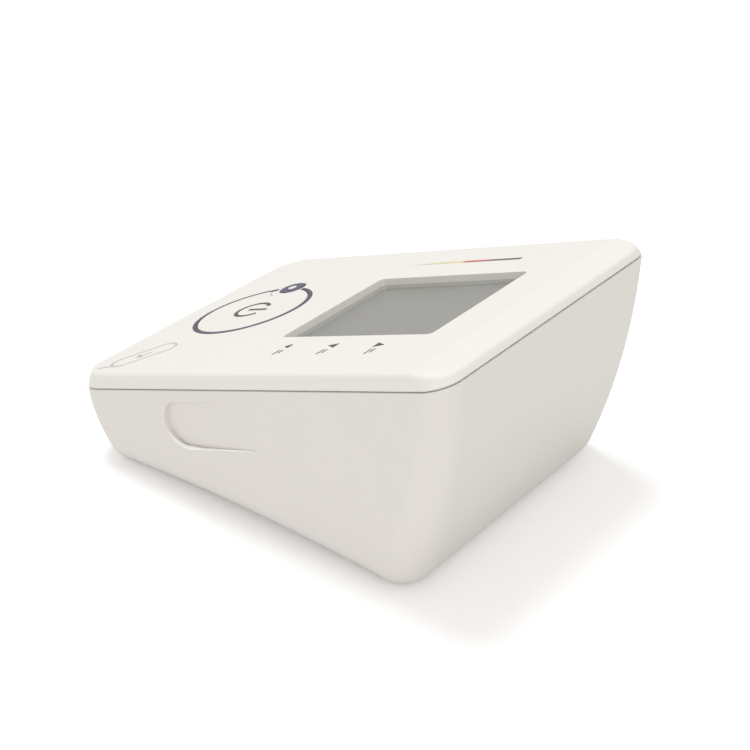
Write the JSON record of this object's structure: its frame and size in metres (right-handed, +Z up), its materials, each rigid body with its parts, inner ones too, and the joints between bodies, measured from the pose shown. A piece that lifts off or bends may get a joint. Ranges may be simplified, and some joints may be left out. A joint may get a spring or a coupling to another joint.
{
  "type": "blood pressure monitor",
  "caption": "Wedge-shaped table-top upper arm blood pressure monitor with a sloping deck, display window, ringed start button, memory button and a cuff hose socket.",
  "frame": {"origin": "on the table, under the middle of the device's outline", "axes": "+Z up, -Y towards the user at the low front edge, +X to the user's right; the deck rises towards +Y"},
  "size_m": [0.1, 0.1346, 0.0719],
  "materials": {
    "cover_plastic": "white moulded plastic, satin",
    "case_plastic": "off-white moulded plastic, fine matt texture",
    "door_plastic": "off-white moulded plastic, fine matt texture",
    "window_lens": "clear plastic lens, polished",
    "display_glass": "unlit liquid crystal panel, grey",
    "frame_plastic": "light grey moulded plastic",
    "strip_rubber": "striped conductive rubber",
    "ring_plastic": "violet grey plastic",
    "button_plastic": "white plastic, satin",
    "memory_plastic": "violet grey plastic, satin",
    "switch_plastic": "black plastic",
    "plunger_plastic": "dark grey plastic",
    "board_laminate": "green lacquered laminate",
    "chip_plastic": "black moulded resin",
    "buzzer_plastic": "black plastic",
    "sensor_plastic": "pale resin",
    "screw_steel": "zinc-plated steel",
    "foot_rubber": "grey rubber",
    "cell_jacket": "plain dark jacket with bare steel ends",
    "contact_steel": "nickel-plated spring steel",
    "motor_steel": "zinc-plated steel can",
    "magnet_ferrite": "dark ferrite",
    "armature_iron": "laminated iron",
    "end_cap_plastic": "black plastic",
    "shaft_steel": "ground steel",
    "pump_plastic": "black moulded plastic",
    "diaphragm_rubber": "black rubber",
    "cradle_rubber": "soft dark rubber",
    "manifold_plastic": "natural white plastic",
    "socket_plastic": "dark grey plastic",
    "valve_steel": "zinc-plated steel",
    "coil_copper": "enamelled copper winding",
    "tube_silicone": "translucent white silicone tube"
  },
  "bodies": {
    "housing": {"top_cover": "cover_plastic", "bottom_case": "case_plastic", "display_window": "window_lens", "lcd_panel": "display_glass", "lcd_frame": "frame_plastic", "zebra_strip": "strip_rubber", "button_ring": "ring_plastic", "start_switch": "switch_plastic", "memory_switch": "switch_plastic", "main_board": "board_laminate", "board_screws": "screw_steel", "case_screws": "screw_steel", "processor_chip": "chip_plastic", "buzzer": "buzzer_plastic", "pressure_sensor": "sensor_plastic", "front_left_foot": "foot_rubber", "front_right_foot": "foot_rubber", "rear_left_foot": "foot_rubber", "rear_right_foot": "foot_rubber", "battery_cell_1": "cell_jacket", "battery_cell_2": "cell_jacket", "battery_cell_3": "cell_jacket", "battery_cell_4": "cell_jacket", "negative_contact": "contact_steel", "front_contact": "contact_steel", "positive_contact": "contact_steel", "left_contact": "contact_steel", "right_contact": "contact_steel", "motor_can": "motor_steel", "front_magnet": "magnet_ferrite", "rear_magnet": "magnet_ferrite", "motor_end_cap": "end_cap_plastic", "crank_case": "pump_plastic", "wobble_plate": "pump_plastic", "pump_diaphragm": "diaphragm_rubber", "pump_cap": "pump_plastic", "pump_cradle": "cradle_rubber", "air_manifold": "manifold_plastic", "air_socket": "socket_plastic", "socket_nut": "socket_plastic", "valve_frame": "valve_steel", "valve_coil": "coil_copper", "socket_tube": "tube_silicone", "valve_tube": "tube_silicone", "pump_tube": "tube_silicone", "sensor_tube": "tube_silicone"},
    "start_button": {"start_button": "button_plastic"},
    "start_plunger": {"start_plunger": "plunger_plastic"},
    "memory_button": {"memory_button": "memory_plastic"},
    "memory_plunger": {"memory_plunger": "plunger_plastic"},
    "battery_door": {"battery_door": "door_plastic"},
    "rotor": {"motor_shaft": "shaft_steel", "motor_armature": "armature_iron", "pump_crank": "pump_plastic"},
    "valve_core": {"valve_core": "valve_steel"}
  },
  "joints": [
    {"name": "start_press", "type": "slide", "parent": "housing", "child": "start_button", "axis": [0, 0.3355, -0.9421], "range_m": [0, 0.0005], "stiffness_N_per_m": 500},
    {"name": "start_switch_press", "type": "slide", "parent": "housing", "child": "start_plunger", "axis": [0, 0.3355, -0.9421], "range_m": [0, 0.0005]},
    {"name": "memory_press", "type": "slide", "parent": "housing", "child": "memory_button", "axis": [0, 0.3355, -0.9421], "range_m": [0, 0.0005], "stiffness_N_per_m": 500},
    {"name": "memory_switch_press", "type": "slide", "parent": "housing", "child": "memory_plunger", "axis": [0, 0.3355, -0.9421], "range_m": [0, 0.0005]},
    {"name": "door_swing", "type": "hinge", "parent": "housing", "child": "battery_door", "pos_m": [0, -0.03485, 0.00212], "axis": [-1, 0, 0], "range_deg": [0, 75]},
    {"name": "motor_spin", "type": "hinge", "parent": "housing", "child": "rotor", "pos_m": [0.012, 0.042, 0.022], "axis": [1, 0, 0], "continuous": true},
    {"name": "valve_pull", "type": "slide", "parent": "housing", "child": "valve_core", "axis": [-1, 0, 0], "range_m": [0, 0.001], "stiffness_N_per_m": 200}
  ],
  "couplings": [
    {"joint": "start_switch_press", "follows": "start_press", "ratio": 1},
    {"joint": "memory_switch_press", "follows": "memory_press", "ratio": 1}
  ]
}
